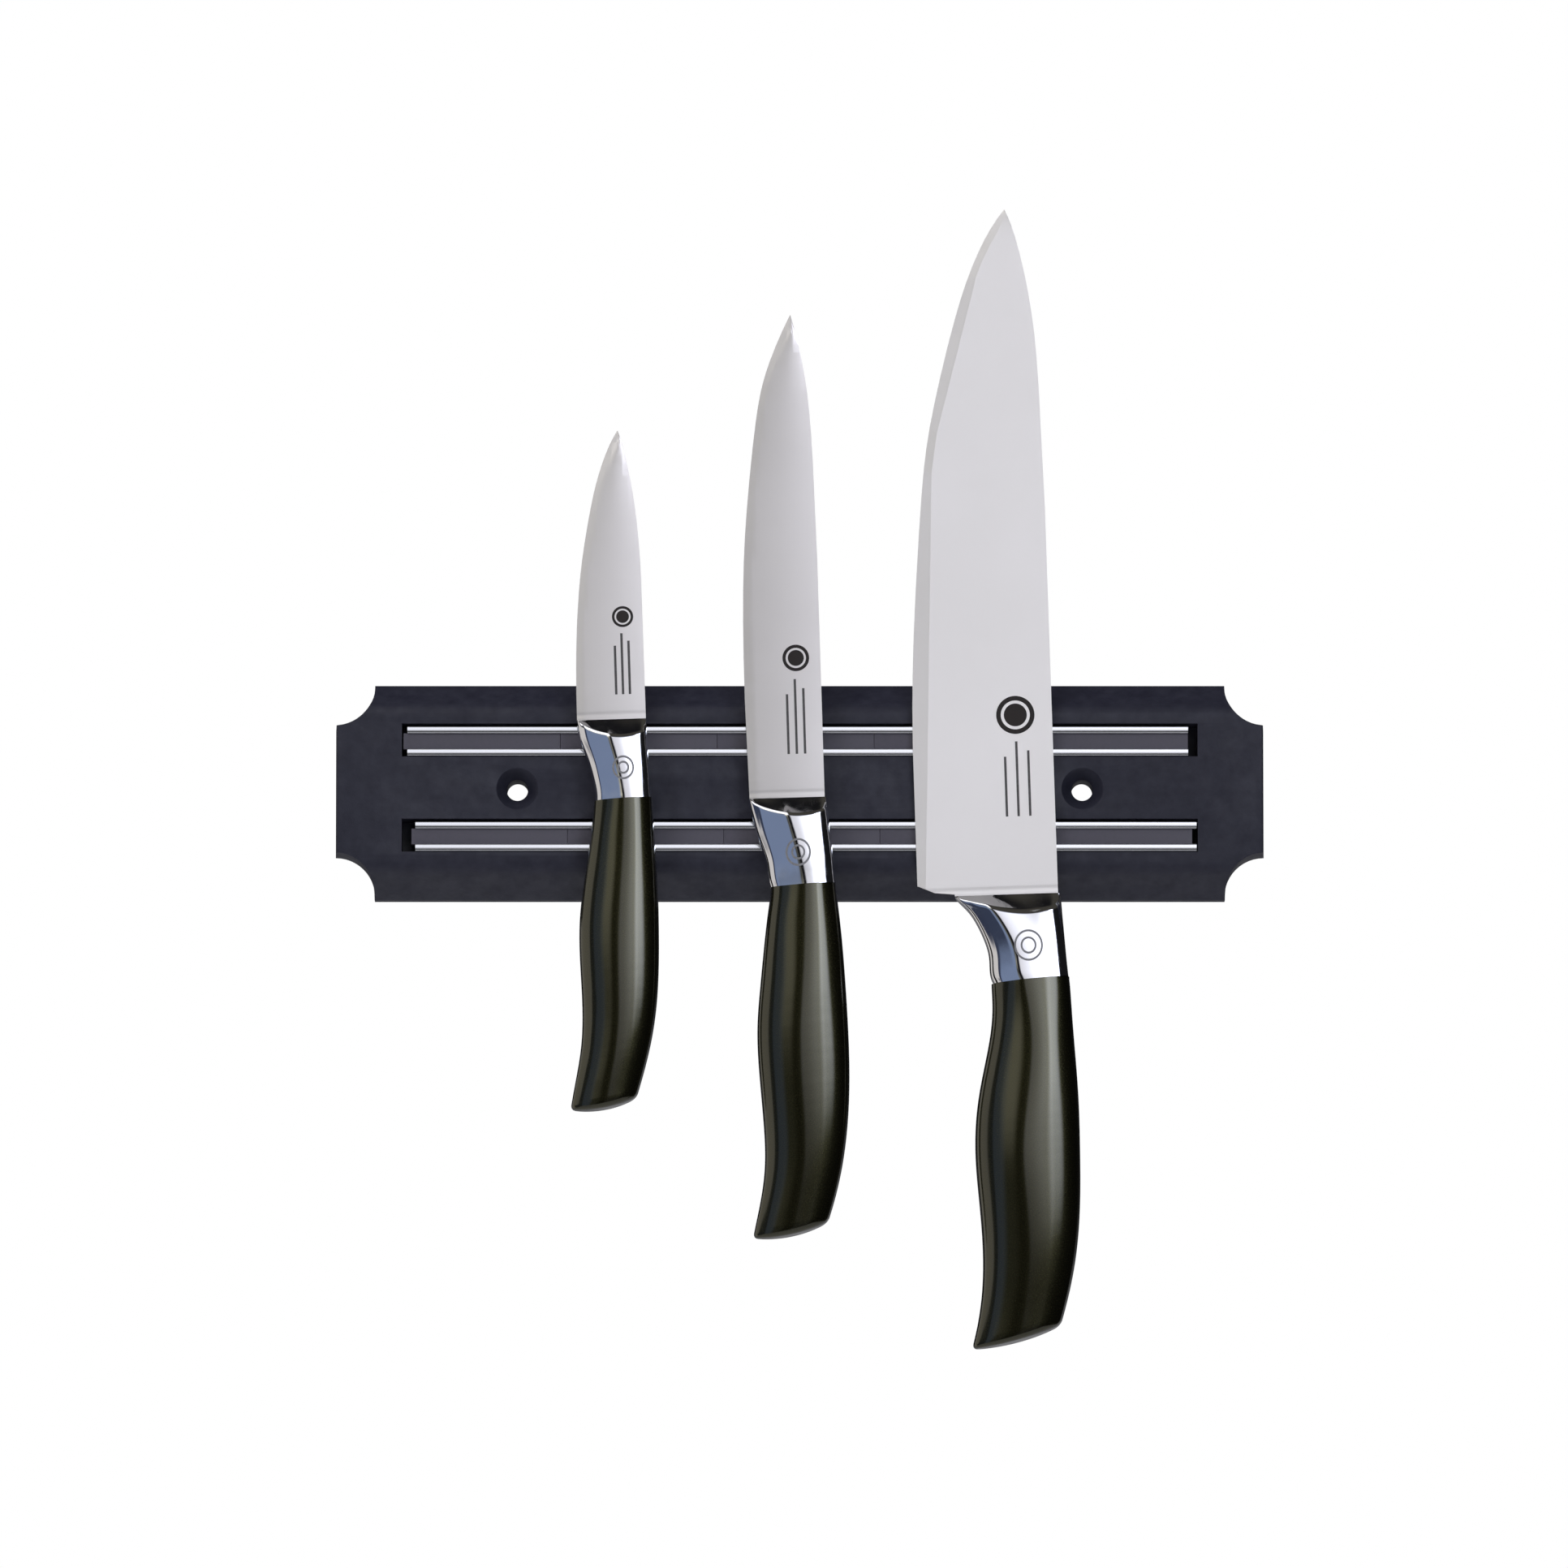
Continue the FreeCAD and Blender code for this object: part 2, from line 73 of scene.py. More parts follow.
# Handles. A station is a place between the top and the bottom of a piece, as a share of its length.
LAST_STATION = 0.9995
END_MARGIN = 0.35 * MM  # nearer than this to an end a leaning handle has only part of a section
JOINT_REACH = 0.6  # sideways part of the direction that finds the corners where grip and bolster meet
TANG_SLOT = 1.6 * MM  # half the thickness that holds the slot for the tang, with room to spare
SLOT_LEFT = 3 * MM  # the slot stays this far from the handle's left side
SLOT_RIGHT = 2 * MM
BUTT_ROUND = 1.9 * MM
BOW_SHARE = 0.1  # the last part of a grip, whose rows bow more and more towards its arched butt

# Bolsters
CAD_SCOOP = 5.2 * MM  # depth below which a packed collar is whole
SCOOP_MARGIN = 0.03  # share of a collar's length below that which isn't relied on either
LENS_DEPTH = {"chef": 4.9 * MM, "utility": 5.1 * MM, "paring": 5.0 * MM}
LENS_PLACE = 0.62  # where a lens is deepest, as a share of the collar's width
LENS_RISE = 0.8  # exponent of the rim's curve on the left: the smaller, the fuller
LENS_FALL = 0.35  # how much of its depth a lens loses on the right
LENS_ROOM = 1.5 * MM  # a lens is whole where the collar is so much thicker, per side, than its rim
ARC_START, ARC_END = 34.0, 42.0  # slope of a hollow at the blade and at its lip, in degrees
LIP = {  # width and drop of the rounded lip below a lens
    "chef": (2.0 * MM, 0.75 * MM),
    "utility": (1.3 * MM, 0.4 * MM),
    "paring": (1.3 * MM, 0.35 * MM),
}
LIP_LIMIT = 0.4  # largest drop, as a share of the collar's half thickness there

# Blades
HOLLOW_WIDTH = 2.4 * MM  # of the shallow hollow that runs across a blade above its bolster
HOLLOW_DEPTH = 0.05 * MM
HOLLOW_ABOVE = 0.3 * MM
GRIND = {  # bevel width, bulge of the ground faces, degrees from which their borders stay crisp
    "chef": (2.4 * MM, 0.0, 3.0),
    "utility": (1.9 * MM, 0.22 * MM, 12.0),
    "paring": (1.7 * MM, 0.22 * MM, 12.0),
}
BLADE_LOW, BLADE_HIGH = 0.06, 0.96  # lowest and highest level cut, as shares of a blade's length
TANG_TOP = -1 * MM  # height from the bolster's upper edge; below it is the tang, which stays flat
NARROW = 1.5  # a blade bulges only where it is wider than so many bevels

# Plain markings. Places are across from the bolster's top right corner and up the blade.
MARK_PROUD = 0.03 * MM
DISC = {  # across, up, radius
    "chef": (-11.4 * MM, 52.7 * MM, 5.6 * MM),
    "utility": (-7.6 * MM, 41.0 * MM, 3.9 * MM),
    "paring": (-6.0 * MM, 30.2 * MM, 3.1 * MM),
}
DISC_HOLE, DISC_DOT = 0.76, 0.6  # the ring's inner radius and the dot's radius, as shares of the radius
BARS = {  # across, up, length, pitch
    "chef": (-11.4 * MM, 33.9 * MM, 22.0 * MM, 3.4 * MM),
    "utility": (-8.1 * MM, 23.8 * MM, 22.0 * MM, 2.4 * MM),
    "paring": (-6.5 * MM, 16.3 * MM, 18.0 * MM, 2.0 * MM),
}
BAR_WIDTH = 0.7 * MM
BAR_TOPS = ((-1, 0.6), (0, 1.0), (1, 0.75))  # place of each bar, and how high it reaches
OVAL = {  # across, up, half width, height as a share of the width
    "chef": (-9.9 * MM, -15.6 * MM, 4.2 * MM, 1.1),
    "utility": (-8.6 * MM, -16.6 * MM, 3.7 * MM, 1.1),
    "paring": (-7.1 * MM, -14.8 * MM, 3.2 * MM, 1.1),
}
OVAL_SHARES = (1.0, 0.55)
RING_LINE = 0.55 * MM


# ---------------------------------------------------------------- camera
VIEW_WIDTH = 457.8 * MM  # width of the rack's plane that fills the picture
VIEW_X, VIEW_Z = -4.6 * MM, 1.3 * MM  # the picture's middle in that plane
CAMERA_DISTANCE = 5.0
CAMERA_ELEVATION = -7.0  # degrees
SENSOR_MM = 36.0


def aim(thing, location, target):
    """Puts a camera or a lamp in one place and turns it towards another."""
    thing.location = location
    thing.rotation_euler = (Vector(target) - Vector(location)).to_track_quat("-Z", "Y").to_euler()


def add_camera():
    """A long lens, slightly below the rack and looking up at it."""
    pole_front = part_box("upper_top_pole")[0].y
    target = Vector((VIEW_X, pole_front, VIEW_Z))
    data = bpy.data.cameras.new("camera")
    data.sensor_width = SENSOR_MM
    data.lens = SENSOR_MM * CAMERA_DISTANCE / VIEW_WIDTH
    data.clip_end = 10 * CAMERA_DISTANCE
    camera = bpy.data.objects.new("camera", data)
    bpy.context.scene.collection.objects.link(camera)
    angle = math.radians(CAMERA_ELEVATION)
    aim(camera, target + CAMERA_DISTANCE * Vector((0, -math.cos(angle), math.sin(angle))), target)
    bpy.context.scene.camera = camera


# ---------------------------------------------------------------- shader helpers
class NodeTree:
    """A shader node tree and short ways to add to it."""

    def __init__(self, tree):
        self.tree = tree

    def add(self, kind, **settings):
        node = self.tree.nodes.new(kind)
        for key, value in settings.items():
            setattr(node, key, value)
        return node

    def link(self, output, target):
        self.tree.links.new(output, target)

    def span(self, value, start, end, low, high):
        """Goes smoothly from low to high while the value goes from start to end."""
        node = self.add("ShaderNodeMapRange", interpolation_type="SMOOTHSTEP")
        for key, number in (("From Min", start), ("From Max", end), ("To Min", low), ("To Max", high)):
            node.inputs[key].default_value = number
        self.link(value, node.inputs["Value"])
        return node.outputs["Result"]

    def math(self, operation, *values):
        """The result of a math node. Each value is a number or the output of another node."""
        node = self.add("ShaderNodeMath", operation=operation)
        for socket, value in zip(node.inputs, values):
            if isinstance(value, float):
                socket.default_value = value
            else:
                self.link(value, socket)
        return node.outputs["Value"]


class Shader(NodeTree):
    """A material with one Principled surface, whose constants are given by their sockets' names."""

    def __init__(self, name, **constants):
        self.material = bpy.data.materials.new(name)
        self.material.use_nodes = True
        super().__init__(self.material.node_tree)
        self.surface = self.tree.nodes["Principled BSDF"].inputs
        for key, value in constants.items():
            self.surface[key.replace("_", " ")].default_value = value
        self.place = self.add("ShaderNodeTexCoord").outputs["Object"]

    def stretched(self, scale):
        """Object coordinates scaled, so that a texture can run in one direction."""
        mapping = self.add("ShaderNodeMapping")
        mapping.inputs["Scale"].default_value = scale
        self.link(self.place, mapping.inputs["Vector"])
        return mapping.outputs["Vector"]

    def noise(self, scale, detail=3.0, roughness=0.5, vector=None):
        node = self.add("ShaderNodeTexNoise")
        node.inputs["Scale"].default_value = scale
        node.inputs["Detail"].default_value = detail
        node.inputs["Roughness"].default_value = roughness
        self.link(vector or self.place, node.inputs["Vector"])
        return node.outputs["Fac"]

    def tones(self, value, dark, light, start=0.3, end=0.7):
        """Base colour: from dark to light while the value goes from start to end."""
        node = self.add("ShaderNodeValToRGB")
        for element, position, color in zip(node.color_ramp.elements, (start, end), (dark, light)):
            element.position = position
            element.color = (*color, 1.0)
        self.link(value, node.inputs["Fac"])
        self.link(node.outputs["Color"], self.surface["Base Color"])

    def roughness(self, value, low, high, start=0.3, end=0.7):
        """Roughness: from low to high while the value goes from start to end."""
        self.link(self.span(value, start, end, low, high), self.surface["Roughness"])

    def bump(self, *heights):
        """Bumps in a chain. heights: output, distance in metres, strength."""
        normal = None
        for height, distance, strength in heights:
            node = self.add("ShaderNodeBump")
            node.inputs["Distance"].default_value = distance
            node.inputs["Strength"].default_value = strength
            self.link(height, node.inputs["Height"])
            if normal is not None:
                self.link(normal, node.inputs["Normal"])
            normal = node.outputs["Normal"]
        self.link(normal, self.surface["Normal"])


# ---------------------------------------------------------------- materials
def rack_plastic():
    """Blue-black moulded plastic with a fine spark-eroded grain."""
    shader = Shader("rack_plastic", IOR=1.42)
    cloud = shader.noise(260.0, detail=4.0, roughness=0.6)
    shader.tones(cloud, (0.0120, 0.0122, 0.0205), (0.0200, 0.0204, 0.0310))
    shader.roughness(shader.noise(160.0, detail=5.0, roughness=0.65), 0.44, 0.62)
    grain, swell = shader.noise(1700.0, detail=2.0), shader.noise(14.0, detail=2.0)
    shader.bump((grain, 0.06 * MM, 0.35), (swell, 0.4 * MM, 0.08))
    return shader.material


def pole_steel():
    """Bright ground steel with fine lines along the strip."""
    shader = Shader("pole_steel", Metallic=1.0)
    lines = shader.noise(300.0, vector=shader.stretched((0.02, 3.0, 3.0)))
    shader.tones(lines, (0.88, 0.90, 0.93), (0.95, 0.96, 0.98))
    shader.roughness(lines, 0.10, 0.18)
    shader.bump((lines, 0.02 * MM, 0.25))
    return shader.material


def ferrite():
    """Grey sintered magnet with a dusty grain."""
    shader = Shader("ferrite", IOR=1.6)
    grain = shader.noise(900.0, detail=4.0, roughness=0.7)
    shader.tones(grain, (0.051, 0.048, 0.062), (0.073, 0.068, 0.087))
    shader.roughness(grain, 0.5, 0.72)
    shader.bump((grain, 0.05 * MM, 0.4))
    return shader.material


def adhesive():
    """Black foam tape with open pores."""
    shader = Shader("adhesive")
    pores = shader.noise(1500.0, roughness=0.7)
    shader.tones(pores, (0.012, 0.012, 0.013), (0.035, 0.035, 0.038), start=0.35)
    shader.roughness(pores, 0.7, 0.95, start=0.0, end=1.0)
    shader.bump((pores, 0.1 * MM, 0.5))
    return shader.material


def blade_steel(name, dark, light):
    """Satin-ground stainless steel: fine lines run across the blade, from spine to edge."""
    shader = Shader(name, Metallic=0.75)
    level = shader.stretched((60.0, 60.0, 4200.0))
    lines = shader.noise(1.0, detail=4.0, roughness=0.65, vector=level)
    shader.tones(shader.noise(26.0), dark, light)
    shader.roughness(lines, 0.33, 0.42)
    shader.bump((lines, 0.008 * MM, 0.2))
    return shader.material


def bolster_steel():
    """Mirror-polished steel with the faint waviness of hand polishing."""
    shader = Shader("bolster_steel", Metallic=1.0)
    shader.tones(shader.noise(40.0), (0.69, 0.69, 0.71), (0.75, 0.75, 0.77))
    shader.roughness(shader.noise(500.0, detail=4.0), 0.05, 0.11)
    shader.bump((shader.noise(90.0, detail=1.0), 0.05 * MM, 0.12))
    return shader.material


def grip_coat():
    """Dark olive-grey metallic lacquer under a clear gloss."""
    shader = Shader("grip_coat", Metallic=0.95, Coat_Weight=1.0, Coat_Roughness=0.06)
    flakes = shader.noise(4200.0, detail=2.0, roughness=0.6)
    shader.tones(flakes, (0.034, 0.032, 0.014), (0.047, 0.045, 0.020), start=0.35)
    shader.roughness(flakes, 0.20, 0.28)
    shader.bump((flakes, 0.01 * MM, 0.2), (shader.noise(70.0, detail=1.0), 0.05 * MM, 0.08))
    return shader.material


def etched(name, dark, light):
    """A slightly uneven etching on steel."""
    shader = Shader(name, Metallic=0.3)
    grain = shader.noise(1200.0, roughness=0.6)
    shader.tones(grain, dark, light)
    shader.roughness(grain, 0.45, 0.65)
    shader.bump((grain, 0.01 * MM, 0.3))
    return shader.material


def floor_paint():
    """Matt white paint."""
    shader = Shader("floor_paint", Roughness=0.6)
    shader.tones(shader.noise(3.0), (0.88, 0.88, 0.88), (0.92, 0.92, 0.92))
    return shader.material


MATERIALS = {
    "rack_plastic": rack_plastic(),
    "pole_steel": pole_steel(),
    "ferrite": ferrite(),
    "adhesive": adhesive(),
    "blade_steel": blade_steel("blade_steel", (0.93, 0.90, 0.87), (0.96, 0.93, 0.905)),
    # the same blade steel made darker for the small blades: painted shade
    "shaded_blade_steel": blade_steel("shaded_blade_steel", (0.76, 0.73, 0.71), (0.80, 0.77, 0.75)),
    "bolster_steel": bolster_steel(),
    "grip_coat": grip_coat(),
    "etched": etched("etched", (0.012, 0.009, 0.008), (0.022, 0.017, 0.015)),
    "etched_pale": etched("etched_pale", (0.060, 0.056, 0.056), (0.100, 0.094, 0.094)),
    "engraved": etched("engraved", (0.17, 0.17, 0.18), (0.26, 0.26, 0.27)),
}


def paint(piece, material):
    piece.data.materials.clear()
    piece.data.materials.append(material)


def paint_cad_nodes():
    """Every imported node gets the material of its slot."""
    for part in frame["record"]["subparts"]:
        paint(nodes[part["node"]], MATERIALS[part["material_slot"]])


# ---------------------------------------------------------------- pieces and meshes
BODY_OF = {node: body for body, held in frame["record"]["behaviour"]["bodies"].items() for node in held}
SLOT_OF = {part["node"]: part["material_slot"] for part in frame["record"]["subparts"]}


def add_piece(name, mesh, node, replace=False):
    """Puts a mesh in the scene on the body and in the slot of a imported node."""
    piece = bpy.data.objects.new(name, mesh)
    bpy.context.scene.collection.objects.link(piece)
    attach(piece, BODY_OF[node])
    paint(piece, MATERIALS[SLOT_OF[node]])
    if replace:
        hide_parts(node)
    return piece


def bridge(work, rings, closed=True):
    """Faces between each ring of points and the next."""
    for first, second in zip(rings, rings[1:]):
        for k in range(0 if closed else 1, len(first)):
            work.faces.new((first[k - 1], first[k], second[k], second[k - 1]))


def finished(work, name, crease=60.0):
    """A smooth mesh from a bmesh, crisp where its faces meet at more than so many degrees."""
    bmesh.ops.recalc_face_normals(work, faces=work.faces)
    mesh = bpy.data.meshes.new(name)
    work.to_mesh(mesh)
    work.free()
    mesh.shade_smooth()
    mesh.set_sharp_from_angle(angle=math.radians(crease))
    return mesh


def softened(node, width, segments=3, angle=28.0):
    """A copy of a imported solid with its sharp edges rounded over, in place of the solid.

    angle: degrees between two faces from which their edge counts as sharp.
    """
    mesh = nodes[node].data.copy()
    work = bmesh.new()
    work.from_mesh(mesh)
    bmesh.ops.remove_doubles(work, verts=work.verts, dist=CAD_WELD)
    limit = math.radians(FLAT_ANGLE)
    bmesh.ops.dissolve_limit(work, angle_limit=limit, verts=work.verts, edges=work.edges)
    work.to_mesh(mesh)
    work.free()
    mesh.shade_smooth()
    piece = add_piece(f"{node}_soft", mesh, node, replace=True)
    bevel = piece.modifiers.new("bevel", "BEVEL")
    bevel.width = width
    bevel.segments = segments
    bevel.limit_method = "ANGLE"
    bevel.angle_limit = math.radians(angle)
    bevel.harden_normals = True
    return piece


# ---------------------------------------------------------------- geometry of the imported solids
def arrays(node):
    """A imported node's vertices and triangles."""
    mesh = nodes[node].data
    mesh.calc_loop_triangles()
    points = np.array([v.co for v in mesh.vertices])
    triangles = np.array([t.vertices for t in mesh.loop_triangles])
    return points, triangles


def section(points, triangles, start, across):
    """The outline of a solid in the plane through start that holds the across direction and Y.

    Returns the distances along across and the Y values of the cut points.
    """
    normal = np.array([-across[2], 0.0, across[0]])
    height = (points - start) @ normal
    found = []
    for i, j in ((0, 1), (1, 2), (2, 0)):
        a, b = triangles[:, i], triangles[:, j]
        crossing = (height[a] > 0) != (height[b] > 0)
        a, b = a[crossing], b[crossing]
        share = (height[a] / (height[a] - height[b]))[:, None]
        found.append(points[a] * (1 - share) + points[b] * share)
    cut = np.concatenate(found)
    return (cut - start) @ across, cut[:, 1]


def corner(points, x, z):
    """The point that lies furthest in one direction of the XZ plane, moved into that plane."""
    return points[np.argmax(points[:, 0] * x + points[:, 2] * z)] * np.array([1.0, 0.0, 1.0])


def corner_pair(points, x, z):
    """The left and the right corner of a solid, furthest in a direction and in its mirror image."""
    return corner(points, -x, z), corner(points, x, z)


def direction(pair):
    """From the left to the right of a pair of corners."""
    left, right = pair
    return (right - left) / np.linalg.norm(right - left)


def distance(top, bottom):
    """How far the middles of two pairs of corners are apart."""
    return np.linalg.norm((bottom[0] + bottom[1] - top[0] - top[1]) / 2)


def knife_axes(knife):
    """The corners where a bolster meets its blade, and the directions across and up the blade."""
    collar, _ = arrays(f"{knife}_bolster")
    left, right = corner_pair(collar, 1.0, 1.0)
    along = direction((left, right))
    up = np.array([-along[2], 0.0, along[0]])
    return left, right, along, up


def eased(values, times, axis):
    """Values averaged with their neighbours along one axis, with the ends kept."""
    values = np.moveaxis(values, axis, 0).copy()
    for _ in range(times):
        values[1:-1] = 0.25 * values[:-2] + 0.5 * values[1:-1] + 0.25 * values[2:]
    return np.moveaxis(values, 0, axis)


def cosine_steps(count):
    """Shares from 0 to 1, closer together near both ends."""
    return (1 - np.cos(np.linspace(0.0, math.pi, count))) / 2


# ---------------------------------------------------------------- handles
def half_sections(node, top, bottom, stations, shares):
    """A handle solid's shape at stations between two pairs of corners.

    Returns its left and right ends, its middle plane's Y, and at each share of its width the
    height of its skin above the middle plane. The slot for the tang is left out. Near its ends,
    where a handle that leans forward has only half a section, the nearest whole one is used.
    """
    points, triangles = arrays(node)
    margin = END_MARGIN / distance(top, bottom)

    def line(station):
        """Middle and direction of the line across the handle at a station."""
        start = top[0] * (1 - station) + bottom[0] * station
        end = top[1] * (1 - station) + bottom[1] * station
        return (start + end) / 2, direction((start, end))

    ends, centres, heights = [], [], []
    for station in stations:
        middle, across = line(station)
        place, depth = section(points, triangles, *line(min(max(station, margin), 1 - margin)))
        centre = (depth.min() + depth.max()) / 2
        height = abs(depth - centre)
        inner = (place > place.min() + SLOT_LEFT) & (place < place.max() - SLOT_RIGHT)
        outside = ~(inner & (height < TANG_SLOT))
        place, height = place[outside], height[outside]
        order = np.argsort(place)
        low, high = place.min(), place.max()
        heights.append(np.interp(low + (high - low) * shares, place[order], height[order]))
        ends.append((middle + low * across, middle + high * across))
        centres.append(centre)
    return np.array(ends), np.array(centres), np.array(heights)


def skin(node, flat, centres, heights, crease=40.0):
    """A closed, smooth piece in place of a handle solid.

    flat: rows by columns of points in the XZ plane. heights: how far the skin stands from the
    middle plane there, on both sides.
    """
    rows, columns = heights.shape
    work = bmesh.new()

    def point(row, column, side):
        x, _, z = flat[row, column]
        return work.verts.new((x, centres[row, column] + side * heights[row, column], z))

    rings = []
    for row in range(rows):
        front = [point(row, column, -1) for column in range(columns)]
        back = [point(row, column, 1) for column in range(columns - 2, 0, -1)]
        rings.append(front + back)
    bridge(work, rings)
    # each end is closed by a ladder of faces, whose rungs join the front to the back
    for ring in (rings[0], rings[-1]):
        rungs = [(ring[k], ring[-k]) for k in range(1, columns - 1)]
        work.faces.new((ring[0], *rungs[0]))
        for (a, b), (c, d) in zip(rungs, rungs[1:]):
            work.faces.new((a, c, d, b))
        work.faces.new((rungs[-1][0], ring[columns - 1], rungs[-1][1]))
    bmesh.ops.remove_doubles(work, verts=work.verts, dist=SKIN_WELD)
    name = f"{node}_skin"
    return add_piece(name, finished(work, name, crease), node, replace=True)


def smooth_grip(knife, rows=110, columns=80, butt_rows=8, first=0.0005):
    """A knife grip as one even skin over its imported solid, with a rounded butt.

    Rows are cut across the solid from the joint with the bolster to the slanted butt. Each row
    follows the solid's own section, so its crease and ridge stay in place and are only eased.
    """
    node = f"{knife}_grip"
    points, _ = arrays(node)
    top = corner_pair(points, JOINT_REACH, 1.0)
    butt = corner_pair(points, 1.0, -1.0)
    along = direction(butt)
    below = np.array([along[2], 0.0, -along[0]])
    sag = max((points - butt[0]) @ below)
    length = distance(top, butt)
    shares = cosine_steps(columns)

    # stations down the grip, closer together where the butt is rounded off
    turn = np.linspace(0.0, math.pi / 2, butt_rows + 1)[1:]
    straight = np.linspace(first, 1.0 - BUTT_ROUND / length, rows)
    stations = np.concatenate([straight, 1.0 - BUTT_ROUND / length * (1.0 - np.sin(turn))])
    stations = np.minimum(stations, LAST_STATION)
    inset = np.concatenate([np.zeros(rows), BUTT_ROUND * (1.0 - np.cos(turn))])

    ends, centres, heights = half_sections(node, top, butt, stations, shares)
    heights[:rows] = eased(heights[:rows], times=6, axis=0)
    heights = eased(heights, times=9, axis=1)
    heights *= (1.0 - inset / heights.max(axis=1))[:, None]
    heights[:, [0, -1]] = 0.0

    # the butt's rounding also draws the sides in, and the last rows bow down to its arched end
    widths = np.linalg.norm(ends[:, 1] - ends[:, 0], axis=1)
    across = (inset[:, None] / widths[:, None] * (1 - 2 * shares) + shares)[..., None]
    flat = ends[:, None, 0] * (1 - across) + ends[:, None, 1] * across
    bow = np.clip((stations - (1 - BOW_SHARE)) / BOW_SHARE, 0, 1)[:, None] ** 2
    hang = sag * 4 * shares * (1 - shares) * bow
    flat = flat + hang[..., None] * below
    return skin(node, flat, np.repeat(centres[:, None], columns, axis=1), heights)


def carried_on(values, full, rows=8):
    """What the rows above the row full hold if they go on as the rows below it do."""
    trend = (values[full] - values[full + rows]) / rows
    return np.array([values[full] + trend * (full - k) for k in range(full)])


def lens_rims(depth, shares, heights, rim_height):
    """How deep the hollow of each column reaches: a lens, deepest right of the middle."""
    rise = np.sin(math.pi / 2 * np.minimum(shares / LENS_PLACE, 1.0)) ** LENS_RISE
    fall = 1 - LENS_FALL * np.clip((shares - LENS_PLACE) / (1 - LENS_PLACE), 0, 1) ** 2
    room = np.clip((heights - rim_height) / LENS_ROOM, 0, 1)
    return eased(depth * rise * fall * room, times=5, axis=0)


def smooth_bolster(knife, rows=60, columns=96, scoop_rows=16, lip_rows=8, first=0.001):
    """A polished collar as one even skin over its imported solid.

    Its scoops are slanted hollows that start at the blade. Each runs out where the collar gets thin,
    which gives its lower rim the shape of a lens. One row of the skin follows that rim.
    """
    node = f"{knife}_bolster"
    points, _ = arrays(node)
    top = corner_pair(points, 1.0, 1.0)
    joint = corner_pair(points, JOINT_REACH, -1.0)
    length = distance(top, joint)
    shares = cosine_steps(columns)
    stations = np.linspace(first, LAST_STATION, rows)
    ends, centres, heights = half_sections(node, top, joint, stations, shares)

    # above the scoops' deepest point the full shape is carried on from below them
    rim_height = heights[0].max()
    full = int(np.searchsorted(stations, CAD_SCOOP / length + SCOOP_MARGIN))
    heights[:full] = np.maximum(carried_on(heights, full), 0.0)
    centres[:full] = carried_on(centres, full)
    heights = eased(eased(heights, times=4, axis=1), times=4, axis=0)
    heights[:, [0, -1]] = 0.0
    rims = lens_rims(LENS_DEPTH[knife] / length, shares, heights[0], rim_height)

    # the hollow leaves the blade at an angle, follows a slight arc and ends in a softly rounded lip
    scoop = np.sin(np.linspace(0.0, math.pi / 2, scoop_rows))
    arc = np.cos(np.radians(ARC_START)) - np.cos(np.radians(ARC_START + (ARC_END - ARC_START) * scoop))
    arc /= arc[-1]
    lip = np.linspace(0.0, 1.0, lip_rows + 1)[1:]
    rest = np.linspace(0.0, 1.0, rows)[1:]
    shape = (len(scoop) + len(lip) + len(rest), columns)
    flat, middle, high = np.zeros((*shape, 3)), np.zeros(shape), np.zeros(shape)
    lip_width, lip_drop = LIP[knife]
    for k, rim in enumerate(rims):
        lip_end = rim + lip_width / length
        at = np.concatenate([rim * scoop, rim + (lip_end - rim) * lip, lip_end + (1 - lip_end) * rest])
        body = np.interp(at, stations, heights[:, k])
        drop = min(lip_drop, LIP_LIMIT * np.interp(rim, stations, heights[:, k]))
        body -= drop * np.clip(1 - (at - rim) * length / lip_width, 0, 1) ** 2
        foot = min(rim_height, body[0])
        hollow = foot + (body[scoop_rows - 1] - foot) * arc
        body[:scoop_rows] = np.minimum(body[:scoop_rows], hollow)
        high[:, k] = body
        middle[:, k] = np.interp(at, stations, centres)
        for axis in (0, 2):
            left = np.interp(at, stations, ends[:, 0, axis])
            right = np.interp(at, stations, ends[:, 1, axis])
            flat[:, k, axis] = left + (right - left) * shares[k]
    return skin(node, flat, middle, high)


# ---------------------------------------------------------------- blades
def blade_spans(points, triangles, left, along, up, lowest=4 * MM, count=60):
    """Stations up a blade in metres, and the places of its edge, spine and middle plane there."""
    length = ((points - left) @ up).max()
    stations = np.concatenate([np.linspace(lowest, BLADE_HIGH * length, count), [length]])
    spans = []
    for station in stations[:-1]:
        across, depth = section(points, triangles, left + station * up, along)
        spans.append((across.min(), across.max(), (depth.min() + depth.max()) / 2))
    tip = (spans[-1][0] + spans[-1][1]) / 2
    spans.append((tip, tip, spans[-1][2]))
    return stations, np.array(spans)


